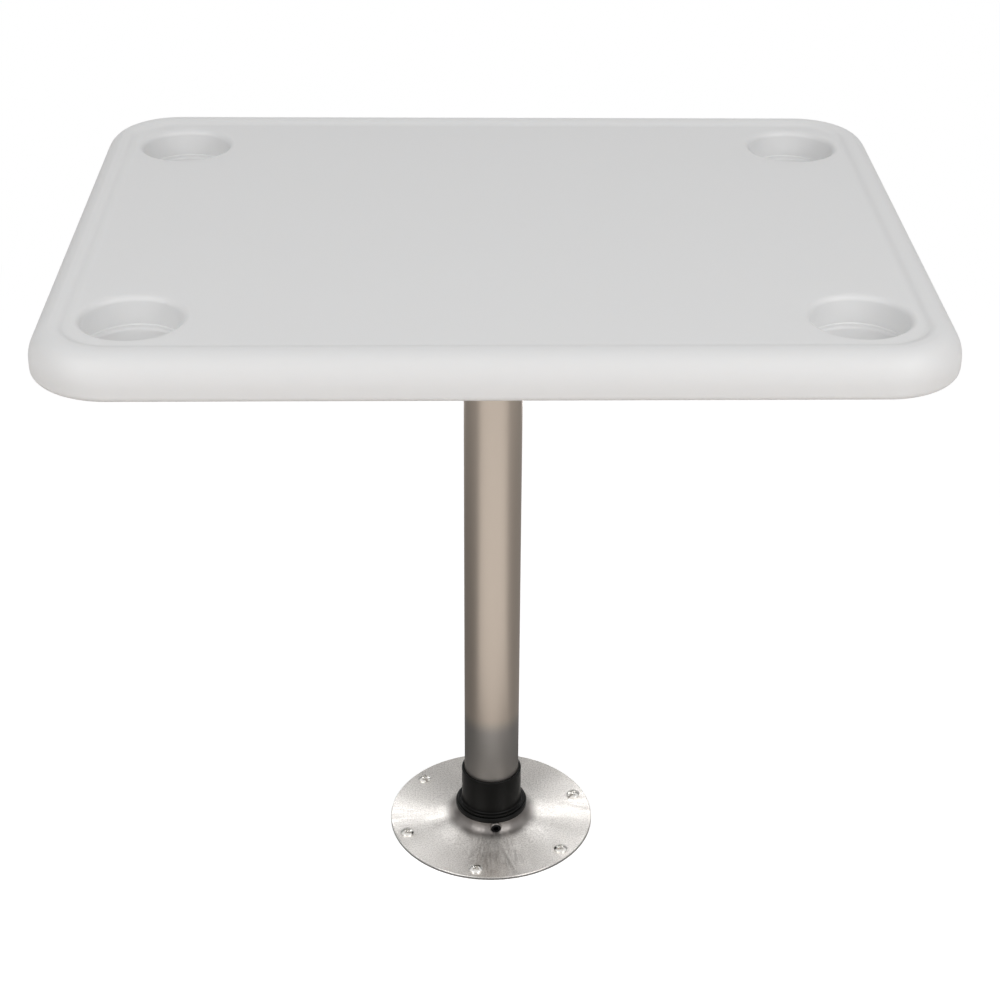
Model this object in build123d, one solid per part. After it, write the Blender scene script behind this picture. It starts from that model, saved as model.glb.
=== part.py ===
from build123d import *
import math
import os

# Single pole camper table, in millimetres, +Z up.
# The origin is the centre of the floor base, at floor level. +X is to the sitter's right
# and +Y points away from the sitter. Every size that can be set by itself is named here.

# Moulded top
top_width = 820.0
top_depth = 630.0
top_corner_radius = 75.0
top_thickness = 42.0
top_height = 729.0
edge_roll_width = 20.0
edge_roll_height = 28.0
edge_lower_radius = 6.0
rim_crest_width = 3.0
rim_slope_width = 15.0
rim_drop = 4.0

# Cup wells in the top
cup_radius = 45.0
cup_depth = 32.0
cup_lip_radius = 6.0
cup_floor_fillet = 3.0
cup_ledge_height = 1.2
cup_ledge_width = 1.0
cup_inset_x = 88.0
cup_inset_y = 95.0

# Underside of the top
under_land_width = 48.0
under_recess_depth = 4.0
under_recess_draft = 20.0
bracket_pad_margin = 14.0
cup_pad_radius = 33.0

# Post
post_radius = 30.15
post_wall = 2.5
post_bevel = 0.8
snap_groove_depth = 0.7
snap_groove_width = 3.4
snap_groove_below_end = 18.0

# Clearances
slide_gap = 0.3
thread_gap = 0.05
spigot_gap = 0.5

# Floor base
base_radius = 114.3
base_rim_height = 3.2
base_edge_radius = 1.0
screw_band_width = 41.3
skirt_slope = 8.0
skirt_blend_radius = 115.0
neck_wall = 4.6
neck_upright = 11.0
neck_fillet = 9.0
socket_lip_height = 1.5
socket_lip_width = 4.0
under_wall = 3.2
under_land = 9.0
under_rib_width = 4.0

# Floor collar
collar_wall = 2.85
collar_height = 51.4
collar_floor = 3.0
collar_floor_lip = 5.0
collar_foot_bevel = 0.6
collar_mouth_bevel = 0.6
collar_mouth_round = 1.2
flange_reach = 6.7
flange_height = 6.2
flange_edge_round = 1.4
step_reach = 4.3
step_height = 2.9
step_groove = 0.8
step_edge_round = 0.9
step_fillet = 1.8

# Socket set screws of the neck and the bracket
set_screw_radius = 5.5
set_screw_key = 6.0
set_screw_key_depth = 5.0
set_screw_point = 1.2
set_screw_bevel = 0.5
set_boss_wall = 1.0
set_boss_reach = 2.5
set_boss_bevel = 0.4
neck_screw_angle = -83.5
neck_screw_below_top = 6.7
bracket_screw_angle = 90.0
bracket_screw_above_mouth = 16.0

# Floor screws
floor_screw_count = 6
floor_screw_inset = 13.3
floor_screw_first_angle = 19.3
floor_screw_radius = 3.0
floor_screw_length = 32.0
floor_screw_point = 7.0
floor_screw_tip = 0.3
floor_head_radius = 7.6
floor_head_height = 4.2
floor_head_side = 1.3
screw_hole_gap = 0.4
screw_shank_step = 0.2
key_width = 1.7
key_reach = 3.9
key_depth = 2.6
key_taper = 12.0

# Bracket under the top
bracket_radius = 90.0
bracket_plate = 5.0
bracket_edge_radius = 1.2
bracket_edge_bevel = 0.5
bracket_socket_wall = 4.6
bracket_socket_depth = 58.0
bracket_mouth_bevel = 0.8
bracket_root_fillet = 2.5
bracket_rib_count = 6
bracket_rib_width = 5.0
bracket_rib_margin = 12.0
bracket_rib_drop = 40.0
bracket_rib_toe = 2.0
bracket_fixing_count = 6
bracket_fixing_circle = 142.0
bracket_fixing_radius = 3.0
bracket_fixing_length = 18.0
bracket_fixing_bevel = 0.8
bracket_head_radius = 6.2
bracket_head_height = 3.6
bracket_head_side = 1.4
insert_wall = 2.2
insert_end = 1.5

# Swivel cap on the post
cap_wall = 2.85
cap_top = 3.5
cap_flange_height = 3.0
cap_flange_reach = 4.4
cap_edge_round = 1.0
cap_bevel = 0.6
cap_bead_width = 2.4
cap_bead_height = 0.5

# Levels and radii that follow from the sizes above
under_level = top_height - top_thickness
field_level = top_height - rim_drop
cup_floor_level = field_level - cup_depth
plate_level = under_level - bracket_plate
post_top = plate_level - cap_top
snap_level = post_top - snap_groove_below_end
skirt_foot_radius = base_radius - screw_band_width
floor_screw_circle = 2 * (base_radius - floor_screw_inset)
sleeve_bore = post_radius + slide_gap
collar_radius = sleeve_bore + collar_wall
socket_radius = collar_radius + thread_gap
neck_radius = socket_radius + neck_wall
neck_corner = base_rim_height + (skirt_foot_radius - neck_radius) * math.tan(
    math.radians(skirt_slope)
)
neck_top = neck_corner + neck_upright
neck_screw_level = neck_top - neck_screw_below_top
collar_seat = socket_lip_height + spigot_gap
post_bottom = collar_seat + collar_floor
collar_top = neck_top + collar_height
cap_radius = sleeve_bore + cap_wall
bracket_bore = cap_radius + slide_gap
bracket_socket_radius = bracket_bore + bracket_socket_wall
bracket_mouth_level = plate_level - bracket_socket_depth
bracket_screw_level = bracket_mouth_level + bracket_screw_above_mouth
insert_length = bracket_fixing_length - bracket_plate + insert_end
fixing_tip = bracket_fixing_radius - bracket_fixing_bevel
insert_radius = bracket_fixing_radius + thread_gap + insert_wall
set_screw_bore = set_screw_radius + thread_gap
set_boss_radius = set_screw_bore + set_boss_wall

# How far a cutting shape runs past the face that it cuts
overcut = 1.0


def turned(points, radii=None):
    """Solid turned about Z from (radius, height) corners, each rounded by its own radius."""
    if radii is None:
        outline = Polyline(*points, close=True)
    else:
        outline = FilletPolyline(*points, radius=radii, close=True)
    return revolve(make_face(Plane.XZ * outline), Axis.Z, 360)


def places_around(count, circle, first_angle=0.0):
    """Plan positions evenly spaced on a circle of that diameter."""
    places = []
    for index in range(count):
        angle = math.radians(first_angle + index * 360.0 / count)
        places.append((circle / 2 * math.cos(angle), circle / 2 * math.sin(angle)))
    return places


def upright_cylinder(radius, low, high):
    """Cylinder on the Z axis between two levels."""
    return Pos(0, 0, (low + high) / 2) * Cylinder(radius, high - low)


def level_cylinder(radius, inner, outer, angle, level):
    """Cylinder that lies along a level ray from the Z axis, between two radii."""
    ray = Rot(0, 0, angle) * Pos(0, 0, level) * Rot(0, 90, 0)
    return ray * upright_cylinder(radius, inner, outer)


# Moulded top

def edge_profile():
    """Section of the edge, from the outer face (x = 0) in to the corner's centre.

    Going inwards it has the rounded lower corner, an upright face, the large elliptical
    roll, the crest and a double curve that drops to the flat field.
    """
    roll_foot = top_height - edge_roll_height
    crest_end = edge_roll_width + rim_crest_width
    slope_end = crest_end + rim_slope_width
    slope_middle = (crest_end + rim_slope_width / 2, top_height - rim_drop / 2)
    reach = top_corner_radius
    lower = (edge_lower_radius, under_level)
    line = Line((reach, under_level), lower)
    line += JernArc(lower, (-1, 0), edge_lower_radius, -90)
    line += Line((0, under_level + edge_lower_radius), (0, roll_foot))
    line += EllipticalCenterArc(
        (edge_roll_width, roll_foot), edge_roll_width, edge_roll_height, 90, arc_size=90
    )
    line += Line((edge_roll_width, top_height), (crest_end, top_height))
    line += TangentArc((crest_end, top_height), slope_middle, tangent=(1, 0))
    line += TangentArc((slope_end, field_level), slope_middle, tangent=(-1, 0))
    line += Line((slope_end, field_level), (reach, field_level))
    line += Line((reach, field_level), (reach, under_level))
    return make_face(line)


def edge_frame():
    """The four straight edges and the four turned corners of the top."""
    profile = edge_profile()
    inner_x = top_width / 2 - top_corner_radius
    inner_y = top_depth / 2 - top_corner_radius
    frame = []
    for side in range(4):
        out, half = (inner_x, inner_y) if side % 2 == 0 else (inner_y, inner_x)
        start = Plane(
            origin=(out + top_corner_radius, -half, 0), x_dir=(-1, 0, 0), z_dir=(0, 1, 0)
        )
        edge = extrude(start * profile, 2 * half)
        corner = revolve(Pos(0, 2 * half, 0) * (start * profile), Axis((out, half, 0), (0, 0, 1)), 90)
        frame.append(Rot(0, 0, 90 * side) * edge)
        frame.append(Rot(0, 0, 90 * side) * corner)
    return frame


def cup_places():
    """Plan centres of the four cup wells, one in each corner of the field."""
    x = top_width / 2 - cup_inset_x
    y = top_depth / 2 - cup_inset_y
    return [(-x, -y), (x, -y), (x, y), (-x, y)]


def cup_space():
    """Turned space of one cup well: rounded lip, upright wall, small ledge and flat floor."""
    mouth = cup_radius + cup_lip_radius
    above = field_level + overcut
    floor_radius = cup_radius - cup_ledge_width
    fillet_top = cup_floor_level + cup_floor_fillet
    ledge_low = fillet_top + cup_ledge_height
    ledge_high = ledge_low + cup_ledge_width
    line = Line((0, above), (mouth, above))
    line += Line((mouth, above), (mouth, field_level))
    line += JernArc((mouth, field_level), (-1, 0), cup_lip_radius, 90)
    line += Line((cup_radius, field_level - cup_lip_radius), (cup_radius, ledge_high))
    line += Line((cup_radius, ledge_high), (floor_radius, ledge_low))
    line += Line((floor_radius, ledge_low), (floor_radius, fillet_top))
    line += JernArc((floor_radius, fillet_top), (0, -1), cup_floor_fillet, -90)
    line += Line((floor_radius - cup_floor_fillet, cup_floor_level), (0, cup_floor_level))
    line += Line((0, cup_floor_level), (0, above))
    return revolve(make_face(Plane.XZ * line), Axis.Z, 360)


def under_recess():
    """Shallow drafted recess, round the bracket's pad and a pad below each cup."""
    outline = RectangleRounded(
        top_width - 2 * under_land_width,
        top_depth - 2 * under_land_width,
        top_corner_radius - under_land_width,
    )
    recess = extrude(
        Plane.XY.offset(under_level) * outline, under_recess_depth, taper=under_recess_draft
    )
    recess -= under_pad(bracket_radius + bracket_pad_margin)
    for x, y in cup_places():
        recess -= Pos(x, y, 0) * under_pad(cup_pad_radius)
    return recess


def under_pad(radius):
    """Round pad in the recess, of that radius at its face and drafted outwards to the roof."""
    draft = under_recess_depth * math.tan(math.radians(under_recess_draft))
    middle = under_level + under_recess_depth / 2
    return Pos(0, 0, middle) * Cone(radius, radius + draft, under_recess_depth)


def table_top():
    """One moulded panel: rolled edge, raised rim, flat field and four cup wells."""
    inner_x = top_width - 2 * top_corner_radius
    inner_y = top_depth - 2 * top_corner_radius
    middle = Pos(0, 0, (under_level + field_level) / 2) * Box(
        inner_x, inner_y, field_level - under_level
    )
    top = middle + edge_frame()
    for x, y in cup_places():
        top -= Pos(x, y, 0) * cup_space()
    top -= under_recess()
    pocket = upright_cylinder(
        insert_radius + thread_gap, under_level - overcut, under_level + insert_length + thread_gap
    )
    for x, y in places_around(bracket_fixing_count, bracket_fixing_circle):
        top -= Pos(x, y, 0) * pocket
    return top


# Post and the cap on its upper end

def post_tube():
    """Drawn round tube, bevelled at both ends, with a rolled groove for the swivel cap."""
    inner = post_radius - post_wall
    groove_bottom = post_radius - snap_groove_depth
    groove_low = snap_level - snap_groove_width / 2
    groove_high = snap_level + snap_groove_width / 2
    points = [
        (inner, post_bottom), (post_radius - post_bevel, post_bottom),
        (post_radius, post_bottom + post_bevel), (post_radius, groove_low),
        (groove_bottom, groove_low), (groove_bottom, groove_high), (post_radius, groove_high),
        (post_radius, post_top - post_bevel), (post_radius - post_bevel, post_top),
        (inner, post_top),
    ]
    return turned(points)


def swivel_cap():
    """Closed cap over the post's end, with a snap bead inside and a flange at its mouth."""
    bottom = bracket_mouth_level - cap_flange_height
    bead_radius = sleeve_bore - cap_bead_height
    half_bead = cap_bead_width / 2
    flange = cap_radius + cap_flange_reach
    points = [
        (0, post_top), (sleeve_bore, post_top),
        (sleeve_bore, snap_level + half_bead), (bead_radius, snap_level + half_bead / 2),
        (bead_radius, snap_level - half_bead / 2), (sleeve_bore, snap_level - half_bead),
        (sleeve_bore, bottom + cap_bevel), (sleeve_bore + cap_bevel, bottom),
        (flange, bottom), (flange, bracket_mouth_level), (cap_radius, bracket_mouth_level),
        (cap_radius, plate_level - cap_bevel), (cap_radius - cap_bevel, plate_level),
        (0, plate_level),
    ]
    radii = 8 * [0] + [cap_edge_round] + 5 * [0]
    return turned(points, radii)


# Screws

def cross_key(top_level):
    """Tapered cross recess, cut down from a level."""
    plane = Plane.XY.offset(top_level)
    arms = Rectangle(2 * key_reach, key_width) + Rectangle(key_width, 2 * key_reach)
    return extrude(plane * arms, -key_depth, taper=key_taper)


def headed_screw(head_radius, head_height, head_side, radius, shank, length, point, tip_radius):
    """Screw seated at level 0: domed head, plain shank a step wider than the screw, point."""
    line = Polyline(
        (0, head_height), (0, -length), (tip_radius, -length), (radius, point - length),
        (radius, -shank), (radius + screw_shank_step, -shank), (radius + screw_shank_step, 0),
        (head_radius, 0), (head_radius, head_side),
    )
    line += TangentArc((0, head_height), (head_radius, head_side), tangent=(1, 0))
    screw = revolve(make_face(Plane.XZ * line), Axis.Z, 360)
    return screw - cross_key(head_height)


def set_screw(length, inner, angle, level):
    """Socket set screw on a level ray: its bevelled point is at the inner radius."""
    outer = inner + length
    points = [
        (0, inner), (set_screw_radius - set_screw_point, inner),
        (set_screw_radius, inner + set_screw_point), (set_screw_radius, outer - set_screw_bevel),
        (set_screw_radius - set_screw_bevel, outer), (0, outer),
    ]
    screw = turned(points)
    key = RegularPolygon(set_screw_key / 2, 6, major_radius=False)
    screw -= extrude(Plane.XY.offset(outer) * key, -set_screw_key_depth)
    return Rot(0, 0, angle) * Pos(0, 0, level) * Rot(0, 90, 0) * screw


# Floor base, collar and their screws

def under_pocket():
    """Ring cut below the skirt that leaves an even wall, with a rib towards each screw."""
    inner = neck_radius + under_land
    roof_foot = base_rim_height - under_wall
    roof = roof_foot + (skirt_foot_radius - inner) * math.tan(math.radians(skirt_slope))
    points = [
        (inner, -overcut), (skirt_foot_radius, -overcut), (skirt_foot_radius, roof_foot),
        (inner, roof),
    ]
    ring = turned(points)
    rib = Pos(skirt_foot_radius / 2, 0, 0) * Box(skirt_foot_radius, under_rib_width, 4 * roof)
    for index in range(floor_screw_count):
        ring -= Rot(0, 0, floor_screw_first_angle + index * 360.0 / floor_screw_count) * rib
    return ring


def floor_base():
    """Cast base: flat screw band, hollow skirt, upright neck and a lipped socket."""
    points = [
        (socket_radius - socket_lip_width, 0), (base_radius, 0),
        (base_radius, base_rim_height), (skirt_foot_radius, base_rim_height),
        (neck_radius, neck_corner), (neck_radius, neck_top),
        (socket_radius, neck_top), (socket_radius, socket_lip_height),
        (socket_radius - socket_lip_width, socket_lip_height),
    ]
    radii = [0, 0, base_edge_radius, skirt_blend_radius, neck_fillet, 0, 0, 0, 0]
    base = turned(points, radii)
    base += set_boss(neck_radius, neck_screw_angle, neck_screw_level)
    base -= upright_cylinder(socket_radius, socket_lip_height, 2 * neck_top)
    base -= under_pocket()
    hole = upright_cylinder(floor_screw_radius + screw_hole_gap, -overcut, 2 * base_rim_height)
    for x, y in places_around(floor_screw_count, floor_screw_circle, floor_screw_first_angle):
        base -= Pos(x, y, 0) * hole
    base -= level_cylinder(set_screw_bore, 0, base_radius, neck_screw_angle, neck_screw_level)
    return base


def set_boss(wall_radius, angle, level):
    """Round boss that a set screw runs through, standing out of a round wall."""
    root = wall_radius - neck_wall / 2
    outer = wall_radius + set_boss_reach
    points = [
        (0, root), (set_boss_radius, root), (set_boss_radius, outer - set_boss_bevel),
        (set_boss_radius - set_boss_bevel, outer), (0, outer),
    ]
    boss = turned(points)
    return Rot(0, 0, angle) * Pos(0, 0, level) * Rot(0, 90, 0) * boss


def floor_collar():
    """Black collar: sleeve round the post, two-step flange, and a spigot in the base."""
    flange = collar_radius + flange_reach
    step = collar_radius + step_reach
    flange_top = neck_top + flange_height
    step_top = flange_top + step_height
    inner_lip = sleeve_bore - collar_floor_lip
    points = [
        (inner_lip, collar_seat), (collar_radius - collar_foot_bevel, collar_seat),
        (collar_radius, collar_seat + collar_foot_bevel), (collar_radius, neck_top),
        (flange, neck_top), (flange, flange_top), (step - step_groove, flange_top),
        (step, flange_top + step_groove), (step, step_top), (collar_radius, step_top),
        (collar_radius, collar_top), (sleeve_bore + collar_mouth_bevel, collar_top),
        (sleeve_bore, collar_top - collar_mouth_bevel), (sleeve_bore, post_bottom),
        (inner_lip, post_bottom),
    ]
    radii = [
        0, 0, 0, 0, flange_edge_round, flange_edge_round, 0, 0, step_edge_round, step_fillet,
        collar_mouth_round, 0, 0, 0, 0,
    ]
    collar = turned(points, radii)
    collar -= level_cylinder(
        set_screw_radius + screw_hole_gap, 0, collar_radius + overcut,
        neck_screw_angle, neck_screw_level,
    )
    return collar


# Bracket under the top

def bracket_rib():
    """Triangular rib from the socket's wall out along the plate, on the +X ray."""
    reach = bracket_radius - bracket_rib_margin
    root = bracket_bore + bracket_socket_wall / 2
    points = [
        (root, plate_level), (reach, plate_level), (reach, plate_level - bracket_rib_toe),
        (bracket_socket_radius, plate_level - bracket_rib_drop),
        (root, plate_level - bracket_rib_drop),
    ]
    outline = Plane.XZ * make_face(Polyline(*points, close=True))
    return extrude(outline, bracket_rib_width / 2, both=True)


def table_bracket():
    """Cast bracket: round plate, socket with a closed top, ribs and a set screw boss."""
    points = [
        (0, plate_level), (bracket_bore, plate_level), (bracket_bore, bracket_mouth_level),
        (bracket_socket_radius - bracket_mouth_bevel, bracket_mouth_level),
        (bracket_socket_radius, bracket_mouth_level + bracket_mouth_bevel),
        (bracket_socket_radius, plate_level), (bracket_radius, plate_level),
        (bracket_radius, under_level - bracket_edge_bevel),
        (bracket_radius - bracket_edge_bevel, under_level), (0, under_level),
    ]
    bracket = turned(points, 5 * [0] + [bracket_root_fillet, bracket_edge_radius] + 3 * [0])
    for index in range(bracket_rib_count):
        angle = (index + 0.5) * 360.0 / bracket_rib_count
        bracket += Rot(0, 0, angle) * bracket_rib()
    bracket += set_boss(bracket_socket_radius, bracket_screw_angle, bracket_screw_level)
    bracket -= upright_cylinder(bracket_bore, bracket_mouth_level - overcut, plate_level)
    bracket -= level_cylinder(
        set_screw_bore, 0, bracket_radius, bracket_screw_angle, bracket_screw_level
    )
    hole = upright_cylinder(
        bracket_fixing_radius + screw_hole_gap, plate_level - overcut, under_level + overcut
    )
    for x, y in places_around(bracket_fixing_count, bracket_fixing_circle):
        bracket -= Pos(x, y, 0) * hole
    return bracket


def threaded_insert():
    """Brass insert moulded into the top, blind at its upper end."""
    bore = bracket_fixing_radius + thread_gap
    top = under_level + insert_length
    points = [
        (bore, under_level), (insert_radius, under_level), (insert_radius, top),
        (0, top), (0, top - insert_end + thread_gap), (bore, top - insert_end + thread_gap),
    ]
    return turned(points)


def save(name, shape):
    """Write one named piece."""
    export_step(shape, f"parts/{name}.step")


os.makedirs("parts", exist_ok=True)
save("table_top", table_top())
save("post_tube", post_tube())
save("swivel_cap", swivel_cap())
save("floor_base", floor_base())
save("floor_collar", floor_collar())
save(
    "collar_set_screw",
    set_screw(
        neck_radius + set_boss_reach - sleeve_bore, sleeve_bore, neck_screw_angle,
        neck_screw_level,
    ),
)
floor_screw = headed_screw(
    floor_head_radius, floor_head_height, floor_head_side, floor_screw_radius,
    base_rim_height, floor_screw_length, floor_screw_point, floor_screw_tip,
)
floor_places = places_around(floor_screw_count, floor_screw_circle, floor_screw_first_angle)
for number, (x, y) in enumerate(floor_places, start=1):
    save(f"floor_screw_{number}", Pos(x, y, base_rim_height) * floor_screw)

save("table_bracket", table_bracket())
save(
    "bracket_set_screw",
    set_screw(
        bracket_socket_radius + set_boss_reach - bracket_bore, bracket_bore,
        bracket_screw_angle, bracket_screw_level,
    ),
)
bracket_screw = Rot(180, 0, 0) * headed_screw(
    bracket_head_radius, bracket_head_height, bracket_head_side, bracket_fixing_radius,
    bracket_plate, bracket_fixing_length, bracket_fixing_bevel, fixing_tip,
)
insert = threaded_insert()
fixing_places = places_around(bracket_fixing_count, bracket_fixing_circle)
for number, (x, y) in enumerate(fixing_places, start=1):
    save(f"bracket_screw_{number}", Pos(x, y, plate_level) * bracket_screw)
    save(f"table_insert_{number}", Pos(x, y, 0) * insert)
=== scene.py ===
import math

import bpy
import numpy as np
from mathutils import Matrix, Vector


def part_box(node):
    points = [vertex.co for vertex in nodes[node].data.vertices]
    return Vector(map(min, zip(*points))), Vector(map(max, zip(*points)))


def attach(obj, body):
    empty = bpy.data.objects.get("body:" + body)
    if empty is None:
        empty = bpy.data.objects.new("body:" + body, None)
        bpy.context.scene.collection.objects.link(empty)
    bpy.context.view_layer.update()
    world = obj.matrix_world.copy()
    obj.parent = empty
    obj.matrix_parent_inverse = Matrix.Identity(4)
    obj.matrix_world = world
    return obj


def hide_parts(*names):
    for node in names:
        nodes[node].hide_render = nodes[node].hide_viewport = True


# Single pole camper table. Lengths are in millimetres and become metres only in the meshes.
# The frame is the CAD part's: the floor base's centre is the origin, +Z is up, +X is to the
# sitter's right and +Y points away from the sitter.

MM = 0.001

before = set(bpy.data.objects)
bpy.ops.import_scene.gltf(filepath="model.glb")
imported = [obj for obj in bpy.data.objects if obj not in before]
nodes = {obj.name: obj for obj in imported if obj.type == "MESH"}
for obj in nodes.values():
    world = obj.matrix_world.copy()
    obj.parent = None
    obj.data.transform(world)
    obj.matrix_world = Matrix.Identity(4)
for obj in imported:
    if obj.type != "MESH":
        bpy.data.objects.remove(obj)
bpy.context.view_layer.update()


def frame_box(name):
    """Lowest and highest corner of a CAD node, in millimetres."""
    low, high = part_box(name)
    return np.array(low) / MM, np.array(high) / MM


# Sizes taken from the frame
TOP_LOW, TOP_HIGH = frame_box("table_top")
POST_LOW, POST_HIGH = frame_box("post_tube")
COLLAR_HIGH = frame_box("floor_collar")[1]
TOP_HALF = TOP_HIGH[:2]
TOP_LEVEL = TOP_HIGH[2]
UNDER_LEVEL = TOP_LOW[2]
POST_RADIUS = POST_HIGH[0]

# Post and base: the tube's wall, where the painted shade on the tube's lower part ends and over
# what height it fades out, and between which radii the painted shade round the base's neck fades
# out into the bright skirt
POST_WALL = 2.5
TUBE_SHADE_LEVEL = COLLAR_HIGH[2] + 86.0
TUBE_SHADE_FADE = 25
NECK_SHADE_FULL_RADIUS = 44.0
NECK_SHADE_END_RADIUS = 56.0

# Moulded top
CORNER_RADIUS = 75.0
ROLL_WIDTH = 20.0
ROLL_HEIGHT = 28.0
LOWER_RADIUS = 6.0
ROLL_POWER = 1.8
CREST_WIDTH = 3.0
RIM_DROP = 4.0
FIELD_LEVEL = TOP_LEVEL - RIM_DROP

# Cup wells
CUP_RADIUS = 45.0
CUP_DEPTH = 32.0
CUP_LIP = 6.0
CUP_FLOOR_FILLET = 3.0
CUP_LEDGE = 1.0
CUP_LEDGE_RISE = 1.2
CUP_INSET = np.array([88.0, 95.0])
CUP_FLOOR = FIELD_LEVEL - CUP_DEPTH
CUP_MOUTH = CUP_RADIUS + CUP_LIP
CUP_PLACE = TOP_HALF - CUP_INSET
CUP_TO_SLOPE = 0.4

# Underside
LAND_WIDTH = 48.0
RECESS_DEPTH = 4.0
RECESS_WALL = 1.5
BRACKET_PAD = 104.0
CUP_PAD = 33.0


# Colours and shader nodes

def colour(code):
    """An sRGB hex colour as the linear values that Blender works in."""
    shares = np.array([int(code[i:i + 2], 16) for i in (1, 3, 5)]) / 255.0
    linear = np.where(shares <= 0.04045, shares / 12.92, ((shares + 0.055) / 1.055) ** 2.4)
    return (*linear.tolist(), 1.0)


def add(tree, kind, inputs=None, **settings):
    """Adds one shader node. Settings are its own properties; inputs are values or links."""
    made = tree.nodes.new(kind)
    for key, value in settings.items():
        setattr(made, key, value)
    for key, value in (inputs or {}).items():
        if isinstance(value, bpy.types.NodeSocket):
            tree.links.new(value, made.inputs[key])
        else:
            made.inputs[key].default_value = value
    return made


def finish_of(name):
    """A new material with an empty tree, its output node and the Object coordinates."""
    material = bpy.data.materials.new(name)
    material.use_nodes = True
    tree = material.node_tree
    tree.nodes.clear()
    place = add(tree, "ShaderNodeTexCoord").outputs["Object"]
    return material, tree, place


def show(tree, shader):
    """Ends a material's tree with that shader."""
    add(tree, "ShaderNodeOutputMaterial", {"Surface": shader.outputs[0]})


def moulded_polyethylene():
    """White polyethylene, moulded hot: an even satin skin, a little waxy, so light goes slightly
    in and edges look soft. The skin has a faint orange peel from the mould, and the broad
    field a slow waviness from cooling, which bends its soft reflections."""
    material, tree, place = finish_of("moulded_polyethylene")
    peel = add(tree, "ShaderNodeTexNoise", {
        "Vector": place, "Scale": 1 / (2.5 * MM), "Detail": 2.0})
    sink = add(tree, "ShaderNodeTexNoise", {
        "Vector": place, "Scale": 1 / (140 * MM), "Detail": 1.0})
    skin = add(tree, "ShaderNodeBump", {
        "Height": peel.outputs["Fac"], "Strength": 0.05, "Distance": 0.3 * MM})
    waves = add(tree, "ShaderNodeBump", {
        "Height": sink.outputs["Fac"], "Strength": 0.5, "Distance": 2.0 * MM,
        "Normal": skin.outputs["Normal"]})
    shader = add(tree, "ShaderNodeBsdfPrincipled", {
        "Base Color": colour("#dfdfdf"), "Roughness": 0.48, "IOR": 1.51,
        "Subsurface Weight": 0.15, "Subsurface Radius": (1.0, 0.9, 0.8),
        "Subsurface Scale": 3.0 * MM, "Normal": waves.outputs["Normal"]})
    show(tree, shader)
    return material


def anodised_tube():
    """Aluminium tube, drawn and then satin anodised: a warm grey metal with a soft sheen and
    fine lines along the post from the drawing die. Its lower part is painted a darker, cooler
    grey, painted shade for the dark that it reflects there, which fades out over 25 mm up to
    86 mm above the collar."""
    material, tree, place = finish_of("satin_anodised_aluminium")
    stretch = add(tree, "ShaderNodeMapping", {"Vector": place, "Scale": (1.0, 1.0, 0.004)})
    lines = add(tree, "ShaderNodeTexNoise", {
        "Vector": stretch.outputs["Vector"], "Scale": 1 / (0.9 * MM), "Detail": 3.0})
    groove = add(tree, "ShaderNodeBump", {
        "Height": lines.outputs["Fac"], "Strength": 0.12, "Distance": 0.05 * MM})
    level = add(tree, "ShaderNodeSeparateXYZ", {0: place}).outputs["Z"]
    # Painted shade: below this level the tube is painted a darker, cooler grey for the dark it
    # reflects
    tube_shade_share = add(tree, "ShaderNodeMapRange", {
        "Value": level, "From Min": (TUBE_SHADE_LEVEL - TUBE_SHADE_FADE) * MM,
        "From Max": TUBE_SHADE_LEVEL * MM},
        interpolation_type="SMOOTHSTEP")
    metal = add(tree, "ShaderNodeMix", {
        "Factor": tube_shade_share.outputs[0], "A": colour("#9b9691"), "B": colour("#bcafa2")},
        data_type="RGBA")
    shader = add(tree, "ShaderNodeBsdfPrincipled", {
        "Base Color": metal.outputs["Result"], "Metallic": 1.0, "Roughness": 0.42,
        "Normal": groove.outputs["Normal"]})
    show(tree, shader)
    return material


def black_nylon():
    """Black nylon, injection moulded in a polished mould: near black with a soft satin glint on
    its rounded edges."""
    material, tree, place = finish_of("moulded_black_nylon")
    grain = add(tree, "ShaderNodeTexNoise", {
        "Vector": place, "Scale": 1 / (0.8 * MM), "Detail": 2.0})
    skin = add(tree, "ShaderNodeBump", {
        "Height": grain.outputs["Fac"], "Strength": 0.08, "Distance": 0.05 * MM})
    shader = add(tree, "ShaderNodeBsdfPrincipled", {
        "Base Color": colour("#0d0d0c"), "Roughness": 0.38, "IOR": 1.53,
        "Specular IOR Level": 0.1, "Normal": skin.outputs["Normal"]})
    show(tree, shader)
    return material


def streak_place(tree, outwards, away):
    """Noise coordinates that make streaks run outwards: the direction from the axis times a
    radius of 70 mm, with the distance from the axis, shortened to 0.12, as the height."""
    heading = add(tree, "ShaderNodeVectorMath", {0: outwards}, operation="NORMALIZE")
    spread = add(tree, "ShaderNodeVectorMath", {0: heading.outputs["Vector"], "Scale": 70 * MM},
                 operation="SCALE")
    along = add(tree, "ShaderNodeMath", {0: away, 1: 0.12}, operation="MULTIPLY")
    depth = add(tree, "ShaderNodeCombineXYZ", {"Z": along.outputs[0]})
    return add(tree, "ShaderNodeVectorMath", {
        0: spread.outputs["Vector"], 1: depth.outputs[0]}, operation="ADD").outputs["Vector"]


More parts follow.
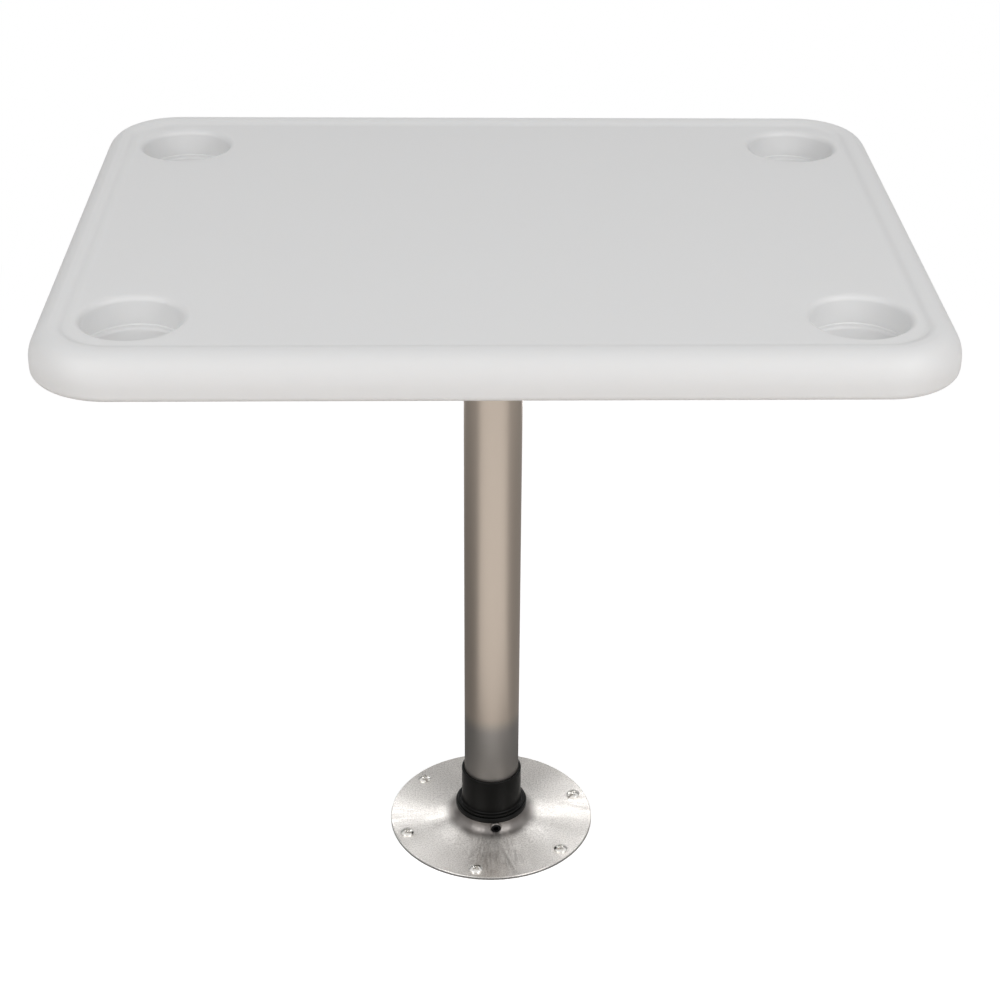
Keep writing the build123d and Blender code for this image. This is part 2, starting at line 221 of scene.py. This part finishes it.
def turned_aluminium():
    """Cast aluminium, finished round on a lathe by grinding and then worn: bright metal whose
    round grain spreads each light outwards into a fan, with fine streaks across it from
    handling and small pits left from the casting. Round the neck, under the collar, the colour
    is painted a darker grey, painted shade, which fades out into the bright metal between 44
    and 56 mm from the axis. Streaks and pits are drawn coarser than they are."""
    material, tree, place = finish_of("brushed_cast_aluminium")
    outwards = add(tree, "ShaderNodeVectorMath", {0: place, 1: (1.0, 1.0, 0.0)},
                   operation="MULTIPLY").outputs["Vector"]
    away = add(tree, "ShaderNodeVectorMath", {0: outwards}, operation="LENGTH").outputs["Value"]
    streaks = add(tree, "ShaderNodeTexNoise", {
        "Vector": streak_place(tree, outwards, away), "Scale": 1 / (1.5 * MM), "Detail": 3.0})
    pits = add(tree, "ShaderNodeTexNoise", {
        "Vector": place, "Scale": 1 / (1.6 * MM), "Detail": 3.0})
    scored = add(tree, "ShaderNodeBump", {
        "Height": streaks.outputs["Fac"], "Strength": 0.5, "Distance": 0.08 * MM})
    skin = add(tree, "ShaderNodeBump", {
        "Height": pits.outputs["Fac"], "Strength": 0.4, "Distance": 0.08 * MM,
        "Normal": scored.outputs["Normal"]})
    worn = add(tree, "ShaderNodeMapRange", {
        "Value": streaks.outputs["Fac"], "From Min": 0.35, "From Max": 0.65,
        "To Min": 0.30, "To Max": 0.44})
    grain = add(tree, "ShaderNodeMapRange", {
        "Value": pits.outputs["Fac"], "From Min": 0.38, "From Max": 0.58})
    bright = add(tree, "ShaderNodeMix", {
        "Factor": grain.outputs[0], "A": colour("#c4c0bc"), "B": colour("#e2dfdb")},
        data_type="RGBA")
    # Painted shade: the neck under the collar is painted darker, fading out between these radii
    neck_shade_share = add(tree, "ShaderNodeMapRange", {
        "Value": away, "From Min": NECK_SHADE_FULL_RADIUS * MM,
        "From Max": NECK_SHADE_END_RADIUS * MM}, interpolation_type="SMOOTHSTEP")
    metal = add(tree, "ShaderNodeMix", {
        "Factor": neck_shade_share.outputs[0], "A": colour("#85817e"), "B": bright.outputs["Result"]},
        data_type="RGBA")
    shader = add(tree, "ShaderNodeBsdfPrincipled", {
        "Base Color": metal.outputs["Result"], "Metallic": 1.0, "Roughness": worn.outputs[0],
        "Anisotropic": 0.92, "Tangent": outwards, "Normal": skin.outputs["Normal"]})
    show(tree, shader)
    return material


def plain_metal(name, code, roughness):
    """A plain metal finish of one colour."""
    material, tree, _ = finish_of(name)
    shader = add(tree, "ShaderNodeBsdfPrincipled", {
        "Base Color": colour(code), "Metallic": 1.0, "Roughness": roughness})
    show(tree, shader)
    return material


# Meshes

def arc(centre, radii, start, end, steps):
    """Points of an ellipse's arc, centre + radii * (cos, sin), angles in degrees."""
    turn = np.radians(np.linspace(start, end, steps + 1))
    return np.stack([centre[0] + radii[0] * np.cos(turn), centre[1] + radii[1] * np.sin(turn)], 1)


def rounded(corners, radii, steps=6):
    """A line of points through corners, with an arc of its own radius at each inner corner.

    The arc's centre lies on the corner's bisector at radius / sin(half angle), and its two
    ends at radius / tan(half angle) along the sides. A point a little before and after each
    arc holds the flat sides flat when the faces are shaded smooth.
    """
    corners = np.array(corners, float)
    line = [corners[:1]]
    for before, corner, after, radius in zip(corners, corners[1:], corners[2:], radii):
        back = (before - corner) / np.linalg.norm(before - corner)
        on = (after - corner) / np.linalg.norm(after - corner)
        half = math.acos(np.clip(back @ on, -1, 1)) / 2
        centre = corner + (back + on) / np.linalg.norm(back + on) * radius / math.sin(half)
        reach = radius / math.tan(half)
        first = corner + back * reach - centre
        side = np.sign(back[0] * on[1] - back[1] * on[0])
        turn = -side * np.linspace(0, math.pi - 2 * half, steps + 1)
        swept = np.stack([first[0] * np.cos(turn) - first[1] * np.sin(turn),
                          first[0] * np.sin(turn) + first[1] * np.cos(turn)], 1)
        hold = 0.25 * radius
        line += [[corner + back * (reach + hold)], centre + swept, [corner + on * (reach + hold)]]
    line.append(corners[-1:])
    return np.concatenate(line)


def turned(profile, columns=144):
    """Grid of a (radius, height) profile turned once round Z: (r cos a, r sin a, h)."""
    turn = np.linspace(0, 2 * math.pi, columns + 1)
    turn[-1] = 0.0
    level = np.broadcast_to(profile[:, None, 1], (len(profile), columns + 1))
    return np.stack([profile[:, None, 0] * np.cos(turn), profile[:, None, 0] * np.sin(turn),
                     level], 2)


def faces_of(grid, start):
    """Quads between neighbouring rows and columns of a grid whose points count from start."""
    index = start + np.arange(grid.shape[0] * grid.shape[1]).reshape(grid.shape[:2])
    return np.stack([index[:-1, :-1], index[1:, :-1], index[1:, 1:], index[:-1, 1:]],
                    2).reshape(-1, 4)


def surface(name, grids, material, body, stands_for):
    """One closed mesh from grids of points in millimetres.

    Points that fall in one place, to a tenth of a micron, become one, which closes seams and
    poles. A quad that lost one corner that way is kept as a triangle.
    """
    points = np.concatenate([grid.reshape(-1, 3) for grid in grids])
    starts = np.cumsum([0] + [grid.shape[0] * grid.shape[1] for grid in grids])
    faces = np.concatenate([faces_of(grid, start) for grid, start in zip(grids, starts)])
    _, first, place = np.unique(np.round(points / 1e-4).astype(np.int64), axis=0,
                                return_index=True, return_inverse=True)
    points = points[first]
    faces = place.reshape(-1)[faces]
    twin = faces == np.roll(faces, 1, axis=1)
    quads = faces[twin.sum(1) == 0]
    lost = twin.sum(1) == 1
    triangles = faces[lost][~twin[lost]].reshape(-1, 3)
    mesh = bpy.data.meshes.new(name)
    mesh.from_pydata(points * MM, [], quads.tolist() + triangles.tolist())
    mesh.polygons.foreach_set("use_smooth", np.ones(len(mesh.polygons), bool))
    mesh.materials.append(material)
    mesh.update()
    made = bpy.data.objects.new(name, mesh)
    bpy.context.scene.collection.objects.link(made)
    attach(made, body)
    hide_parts(*stands_for)
    return made


# Moulded top

def top_edge():
    """Outline points of a quarter of the top, from +X round to +Y: feet and outward normals.

    A point of the edge is foot + normal * (corner radius - inset). The straight sides are
    spaced evenly by angle seen from the cup well, and the corner evenly round its own centre.
    """
    foot = TOP_HALF - CORNER_RADIUS
    reach = TOP_HALF - slope_end() - CUP_PLACE
    side_turn = np.linspace(math.atan2(-CUP_PLACE[1], reach[0]),
                            math.atan2(foot[1] - CUP_PLACE[1], reach[0]), 35)
    side_y = CUP_PLACE[1] + reach[0] * np.tan(side_turn)
    side_y[0] = 0.0
    back_turn = np.linspace(math.atan2(foot[0] - CUP_PLACE[0], reach[1]),
                            math.atan2(-CUP_PLACE[0], reach[1]), 35)
    back_x = CUP_PLACE[0] + reach[1] * np.tan(back_turn)
    back_x[-1] = 0.0
    corner_turn = np.radians(np.linspace(0, 90, 37))[1:-1]
    feet = np.concatenate([
        np.stack([np.full_like(side_y, foot[0]), side_y], 1),
        np.tile(foot, (len(corner_turn), 1)),
        np.stack([back_x, np.full_like(back_x, foot[1])], 1),
    ])
    normals = np.concatenate([
        np.tile([1.0, 0.0], (len(side_y), 1)),
        np.stack([np.cos(corner_turn), np.sin(corner_turn)], 1),
        np.tile([0.0, 1.0], (len(back_x), 1)),
    ])
    return feet, normals


def slope_end():
    """Inset at which the rim's slope meets the field, just outside the cup wells' mouths."""
    return CUP_INSET[0] - CUP_MOUTH - CUP_TO_SLOPE


def edge_section():
    """(inset, height) points from the field out over the rim and round under the edge.

    The slope is two arcs that meet half way, each tangent to the level it leaves; their radius
    is (a * a + b * b) / 2b for half the width a and half the drop b. The roll is a quarter of
    a superellipse, (x / width) ** p + (z / height) ** p = 1, whose p just under 2 turns it off
    the crest a little sooner than an ellipse does. The lower corner is a quarter circle.
    """
    crest = ROLL_WIDTH + CREST_WIDTH
    half_width = (slope_end() - crest) / 2
    half_drop = RIM_DROP / 2
    bend = (half_width ** 2 + half_drop ** 2) / (2 * half_drop)
    sweep = math.degrees(math.asin(half_width / bend))
    lower_level = UNDER_LEVEL + LOWER_RADIUS
    roll_foot = TOP_LEVEL - ROLL_HEIGHT
    turn = np.radians(90 * np.linspace(0, 1, 25) ** 1.4)
    roll = np.stack([ROLL_WIDTH * (1 - np.sin(turn) ** (2 / ROLL_POWER)),
                     roll_foot + ROLL_HEIGHT * np.maximum(np.cos(turn), 0) ** (2 / ROLL_POWER)], 1)
    return np.concatenate([
        arc((slope_end(), FIELD_LEVEL + bend), (bend, bend), -90, -90 - sweep, 8),
        arc((crest, TOP_LEVEL - bend), (bend, bend), 90 - sweep, 90, 8)[1:],
        roll,
        arc((LOWER_RADIUS, lower_level), (LOWER_RADIUS, LOWER_RADIUS), 180, 270, 8),
        rounded([(LOWER_RADIUS + 1, UNDER_LEVEL), (LAND_WIDTH, UNDER_LEVEL),
                 (LAND_WIDTH + RECESS_WALL, UNDER_LEVEL + RECESS_DEPTH),
                 (LAND_WIDTH + 2 * RECESS_WALL, UNDER_LEVEL + RECESS_DEPTH)], (1.0, 1.0), 4),
    ])


def cup_section():
    """(radius, height) points of a cup well, from the middle of its floor up to its mouth."""
    ledge = CUP_FLOOR + CUP_FLOOR_FILLET + CUP_LEDGE_RISE
    floor_radius = CUP_RADIUS - CUP_LEDGE
    line = rounded([(0, CUP_FLOOR), (floor_radius, CUP_FLOOR), (floor_radius, ledge),
                    (CUP_RADIUS, ledge + CUP_LEDGE), (CUP_RADIUS, FIELD_LEVEL - CUP_LIP)],
                   (CUP_FLOOR_FILLET, 0.3, 0.3), 6)
    lip = arc((CUP_MOUTH, FIELD_LEVEL - CUP_LIP), (CUP_LIP, CUP_LIP), 180, 90, 12)
    return np.concatenate([line, lip[1:]])


def pad_section(radius):
    """(radius, height) points of a round pad below the recess, from its foot to its middle."""
    roof = UNDER_LEVEL + RECESS_DEPTH
    return rounded([(radius + RECESS_WALL + 2, roof), (radius + RECESS_WALL, roof),
                    (radius, UNDER_LEVEL), (0.0, UNDER_LEVEL)], (1.0, 1.0), 4)


def round_cup(loop, section):
    """Grid of a section turned about the cup well, in the directions of a loop round it."""
    away = loop[:, :2] - CUP_PLACE
    away /= np.linalg.norm(away, axis=1)[:, None]
    plan = CUP_PLACE + section[:, None, :1] * away
    level = np.broadcast_to(section[:, None, 1:], (*plan.shape[:2], 1))
    return np.concatenate([plan, level], 2)


def quarter_top():
    """Grids of the quarter of the moulded top with x and y over 0.

    The edge's section is carried along the outline. The field joins the outline and the two
    middle lines to the cup well's mouth, and the recess below joins them to the cup's pad, and
    to the bracket's pad at the centre.
    """
    feet, normals = top_edge()
    section = edge_section()
    plan = feet + normals * (CORNER_RADIUS - section[:, None, :1])
    edge = np.concatenate([plan, np.broadcast_to(section[:, None, 1:], (*plan.shape[:2], 1))], 2)

    rim = edge[0]
    corner = np.array([0.0, 0.0, FIELD_LEVEL])
    middle_y = np.linspace(rim[-1], corner, 17)
    middle_x = np.linspace(corner, rim[0], 25)
    loop = np.concatenate([rim, middle_y[1:], middle_x[1:]])
    cup = round_cup(loop, cup_section())
    field = np.linspace(cup[-1], loop, 9)

    recess = edge[-1]
    pad_foot = BRACKET_PAD + RECESS_WALL
    round_pad = np.radians(np.linspace(90, 0, 25))
    pad_ways = np.stack([np.cos(round_pad), np.sin(round_pad)], 1)
    pad_ways[0] = (0.0, 1.0)
    pad_ways[-1] = (1.0, 0.0)
    recess_level = UNDER_LEVEL + RECESS_DEPTH
    pad_line = np.column_stack([pad_ways * (pad_foot + 2), np.full(len(pad_ways), recess_level)])
    low_y = np.linspace(recess[-1], pad_line[0], 11)
    low_x = np.linspace(pad_line[-1], recess[0], 15)
    low_loop = np.concatenate([recess, low_y[1:], pad_line[1:], low_x[1:]])
    cup_pad = round_cup(low_loop, pad_section(CUP_PAD))
    roof = np.linspace(low_loop, cup_pad[0], 7)
    pad = pad_section(BRACKET_PAD)
    pad_plan = pad[:, None, :1] * pad_ways
    bracket_pad = np.concatenate(
        [pad_plan, np.broadcast_to(pad[:, None, 1:], (*pad_plan.shape[:2], 1))], 2)[::-1]
    return [edge, cup, field, roof, cup_pad, bracket_pad]


def mirrored(grid, signs):
    """A grid mirrored in X, Y or both, with its rows turned round where it would face inwards."""
    flipped = grid * np.array([*signs, 1.0])
    return flipped if signs[0] * signs[1] > 0 else flipped[::-1]


white = moulded_polyethylene()
quarter = quarter_top()
quarters = [mirrored(grid, signs) for signs in ((1, 1), (-1, 1), (-1, -1), (1, -1))
            for grid in quarter]
surface("moulded_top", quarters, white, "table", ["table_top"])


# Post

def drawn_tube():
    """Grid of the tube: its wall's outline, turned, with a small bevel at both ends."""
    inner = POST_RADIUS - POST_WALL
    outline = [(inner, 0.5 * (POST_LOW[2] + POST_HIGH[2])), (inner, POST_LOW[2]),
               (POST_RADIUS, POST_LOW[2]), (POST_RADIUS, POST_HIGH[2]), (inner, POST_HIGH[2]),
               (inner, 0.5 * (POST_LOW[2] + POST_HIGH[2]))]
    return turned(rounded(outline, (0.3, 0.8, 0.8, 0.3), 4))


surface("drawn_post", [drawn_tube()], anodised_tube(), "post", ["post_tube"])

# The other pieces keep their CAD meshes. Their loose triangles are joined, and shaded smooth
# where the surface turns gently.
turned_metal = turned_aluminium()
nylon = black_nylon()
stainless = plain_metal("polished_stainless", "#dcdad6", 0.2)
black_oxide = plain_metal("black_oxide_steel", "#2a2a2c", 0.35)
brass = plain_metal("turned_brass", "#c8a45c", 0.3)
FINISHES = {"floor_base": turned_metal, "table_bracket": turned_metal, "floor_collar": nylon,
            "swivel_cap": nylon, "collar_set_screw": black_oxide, "bracket_set_screw": black_oxide}
for number in range(1, 7):
    FINISHES[f"floor_screw_{number}"] = stainless
    FINISHES[f"bracket_screw_{number}"] = stainless
    FINISHES[f"table_insert_{number}"] = brass

for name, material in FINISHES.items():
    piece = nodes[name]
    piece.data.materials.clear()
    piece.data.materials.append(material)
    piece.data.polygons.foreach_set("use_smooth", np.ones(len(piece.data.polygons), bool))
    join = piece.modifiers.new("join", "WELD")
    join.merge_threshold = 0.002 * MM
    split = piece.modifiers.new("split", "EDGE_SPLIT")
    split.split_angle = math.radians(32)
    even = piece.modifiers.new("even", "WEIGHTED_NORMAL")
    even.keep_sharp = True


# Studio: a white floor and surround, soft lamps, and cards that only reflections show

def seen_directly(tree):
    """1 for what the eye, a mirror or glass shows, and 0 for light on its way to a surface."""
    ray = add(tree, "ShaderNodeLightPath")
    seen = add(tree, "ShaderNodeMath", {
        0: ray.outputs["Is Camera Ray"], 1: ray.outputs["Is Glossy Ray"]}, operation="MAXIMUM")
    return add(tree, "ShaderNodeMath", {
        0: seen.outputs[0], 1: ray.outputs["Is Transmission Ray"]}, operation="MAXIMUM").outputs[0]


def flat_card(name, corners, material):
    """Flat four-sided stage piece."""
    mesh = bpy.data.meshes.new(name)
    mesh.from_pydata(corners, [], [(0, 1, 2, 3)])
    mesh.materials.append(material)
    made = bpy.data.objects.new(name, mesh)
    bpy.context.scene.collection.objects.link(made)
    return made


def white_floor():
    """Pale floor paint with a plain glow on it. Near the table, under these lamps, the two add up
    to full white, so no shadow shows there, and further out it fades to even white. From below
    it can't be seen."""
    material, tree, place = finish_of("white_floor")
    away = add(tree, "ShaderNodeVectorMath", {0: place}, operation="LENGTH")
    fade = add(tree, "ShaderNodeMapRange", {
        "Value": away.outputs["Value"], "From Min": 0.7, "From Max": 1.8},
        interpolation_type="SMOOTHSTEP")
    shade = add(tree, "ShaderNodeBsdfDiffuse", {"Color": colour("#bcbcbc")})
    glow = add(tree, "ShaderNodeEmission", {"Strength": 0.73})
    near = add(tree, "ShaderNodeAddShader", {0: shade.outputs[0], 1: glow.outputs[0]})
    far = add(tree, "ShaderNodeEmission", {"Strength": 1.0})
    shown = add(tree, "ShaderNodeMixShader", {
        0: fade.outputs[0], 1: near.outputs[0], 2: far.outputs[0]})
    paint = add(tree, "ShaderNodeBsdfDiffuse", {"Color": colour("#efe8e2")})
    floor = add(tree, "ShaderNodeMixShader", {
        0: seen_directly(tree), 1: paint.outputs[0], 2: shown.outputs[0]})
    nothing = add(tree, "ShaderNodeBsdfTransparent")
    under = add(tree, "ShaderNodeNewGeometry").outputs["Backfacing"]
    show(tree, add(tree, "ShaderNodeMixShader", {
        0: under, 1: floor.outputs[0], 2: nothing.outputs[0]}))
    return material


def studio_world():
    """White surround for the eye and for reflections, and a soft even light for the rest."""
    world = bpy.data.worlds.new("studio")
    bpy.context.scene.world = world
    world.use_nodes = True
    tree = world.node_tree
    tree.nodes.clear()
    fill = add(tree, "ShaderNodeBackground", {"Color": colour("#ffffff"), "Strength": FILL_LIGHT})
    white_light = add(tree, "ShaderNodeBackground", {"Color": colour("#ffffff"), "Strength": 1.0})
    mix = add(tree, "ShaderNodeMixShader", {
        0: seen_directly(tree), 1: fill.outputs[0], 2: white_light.outputs[0]})
    add(tree, "ShaderNodeOutputWorld", {"Surface": mix.outputs[0]})


def aim(thing, place, target):
    """Puts a lamp at a place in metres, with its -Z axis towards the target."""
    back = np.array(place, float) - np.array(target, float)
    back /= np.linalg.norm(back)
    right = np.cross((0.0, 0.0, 1.0), back)
    right /= np.linalg.norm(right)
    turn = np.eye(4)
    turn[:3, 0], turn[:3, 1], turn[:3, 2], turn[:3, 3] = right, np.cross(back, right), back, place
    thing.matrix_world = Matrix(turn.tolist())


def softbox(name, place, target, width, height, power):
    """Large soft lamp."""
    lamp = bpy.data.lights.new(name, "AREA")
    lamp.shape = "RECTANGLE"
    lamp.size = width
    lamp.size_y = height
    lamp.energy = power
    box = bpy.data.objects.new(name, lamp)
    bpy.context.scene.collection.objects.link(box)
    box.visible_camera = False
    aim(box, place, target)


def reflected_card(name, corners, strength):
    """A grey or white card of that brightness, which shows only in reflections."""
    material, tree, _ = finish_of(name)
    show(tree, add(tree, "ShaderNodeEmission", {"Strength": strength}))
    card = flat_card(name, corners, material)
    card.visible_camera = card.visible_diffuse = card.visible_shadow = False
    card.visible_transmission = card.visible_volume_scatter = False


def level_corners(low, high, level):
    """Corners of a level rectangle."""
    return [(low[0], low[1], level), (high[0], low[1], level), (high[0], high[1], level),
            (low[0], high[1], level)]


def upright_corners(left, right, place, bottom, top):
    """Corners of an upright rectangle that faces the front, at a distance behind the post."""
    return [(left, place, bottom), (right, place, bottom), (right, place, top),
            (left, place, top)]


FILL_LIGHT = 0.35
FLOOR_REACH = 12.0
WHITE_CARD_HEIGHT = 0.03
flat_card("studio_floor",
          level_corners((-FLOOR_REACH, -FLOOR_REACH), (FLOOR_REACH, FLOOR_REACH), 0.0),
          white_floor())
studio_world()
softbox("left_key", (-1.85, -1.95, 2.3), (0, 0, 0.7), 1.9, 1.9, 36)
softbox("right_key", (1.85, -1.95, 2.25), (0, 0, 0.7), 1.9, 1.9, 42)
softbox("back_lamp", (0.0, 2.6, 2.5), (0, 0, 0.6), 2.4, 1.0, 9)

# Dark cards on the floor beside and behind the post darken the tube's edges, and one round the
# base darkens its rim. One under the front of the top gives the base its pale front sector.
# Behind the table, below its top, a grey card gives the base its middle grey and four narrow
# white ones in front of it its bright fans.
reflected_card("left_flag", [(-1.6, -1.1, 0.004), (-0.13, -0.09, 0.004), (-0.13, 1.6, 0.004),
                             (-1.6, 1.6, 0.004)], 0.2)
reflected_card("right_flag", [(0.13, -0.035, 0.004), (1.6, -1.1, 0.004), (1.6, 1.6, 0.004),
                              (0.13, 1.6, 0.004)], 0.33)
reflected_card("back_flag", level_corners((-0.13, 0.13), (0.13, 1.6), 0.004), 0.25)
reflected_card("rim_flag", level_corners((-0.2, -0.2), (0.2, 0.2), 0.0004), 0.1)
reflected_card("under_white", level_corners((-0.38, -0.3), (0.38, -0.04), 0.675), 1.0)
reflected_card("back_grey", upright_corners(-1.2, 1.2, 0.5, 0.1, 0.68), 0.36)
for name, ends, level in (("left_low_white", (-0.30, -0.10), 0.345),
                          ("left_high_white", (-0.28, -0.10), 0.565),
                          ("right_low_white", (0.10, 0.30), 0.32),
                          ("right_high_white", (0.12, 0.30), 0.50)):
    bottom, top = level - WHITE_CARD_HEIGHT / 2, level + WHITE_CARD_HEIGHT / 2
    reflected_card(name, upright_corners(*ends, 0.45, bottom, top), 14.0)

# Camera, fitted to the photograph: where it stands, how it is turned, and its lens
CAMERA_PLACE = np.array([-0.03884, -1.91065, 1.49204])
CAMERA_PITCH = 0.5131
CAMERA_YAW = -0.048
CAMERA_ROLL = 0.0185
CAMERA_LENS = 75.34
CAMERA_SHIFT = -0.0432


def place_camera():
    """Camera whose axes are right, up and back, pitched down, turned about Z, then rolled."""
    data = bpy.data.cameras.new("camera")
    data.lens = CAMERA_LENS
    data.sensor_width = 36.0
    data.shift_x = CAMERA_SHIFT
    camera = bpy.data.objects.new("camera", data)
    bpy.context.scene.collection.objects.link(camera)
    turn = np.array([[math.cos(CAMERA_YAW), -math.sin(CAMERA_YAW), 0],
                     [math.sin(CAMERA_YAW), math.cos(CAMERA_YAW), 0], [0, 0, 1]])
    right = turn @ np.array([1.0, 0.0, 0.0])
    up = turn @ np.array([0.0, math.sin(CAMERA_PITCH), math.cos(CAMERA_PITCH)])
    forward = turn @ np.array([0.0, math.cos(CAMERA_PITCH), -math.sin(CAMERA_PITCH)])
    matrix = np.eye(4)
    matrix[:3, 0] = math.cos(CAMERA_ROLL) * right + math.sin(CAMERA_ROLL) * up
    matrix[:3, 1] = -math.sin(CAMERA_ROLL) * right + math.cos(CAMERA_ROLL) * up
    matrix[:3, 2] = -forward
    matrix[:3, 3] = CAMERA_PLACE
    camera.matrix_world = Matrix(matrix.tolist())
    bpy.context.scene.camera = camera


place_camera()
bpy.context.scene.view_settings.view_transform = "Standard"
